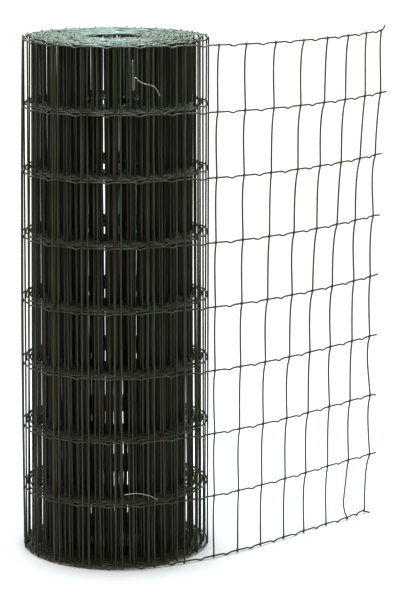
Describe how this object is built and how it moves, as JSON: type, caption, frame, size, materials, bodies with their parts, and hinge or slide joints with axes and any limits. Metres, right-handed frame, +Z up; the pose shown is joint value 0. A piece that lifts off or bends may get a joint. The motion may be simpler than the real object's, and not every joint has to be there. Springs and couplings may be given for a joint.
{
  "type": "fence netting roll",
  "caption": "Standing roll of green plastic-coated welded wire fence netting with tall rectangular cells and crimped line wires, its free end drawn out to one side.",
  "frame": {"origin": "centre of the footprint of the roll and its free end, on the floor", "axes": "+Z up along the roll's axis, +X from the roll towards the drawn-out free end, -Y the side that faces the viewer"},
  "size_m": [0.58, 0.3116, 0.8262],
  "materials": {
    "coating": "dark moss green plastic coat on steel wire, satin to semi-gloss",
    "wire_core": "cut steel core at the wires' ends"
  },
  "bodies": {
    "root": {"roll": "coating", "free_end_1": "coating", "free_end_2": "coating", "free_end_3": "coating", "free_end_4": "coating", "free_end_5": "coating", "upper_tie_wire": "coating", "lower_tie_wire": "coating"}
  },
  "joints": []
}
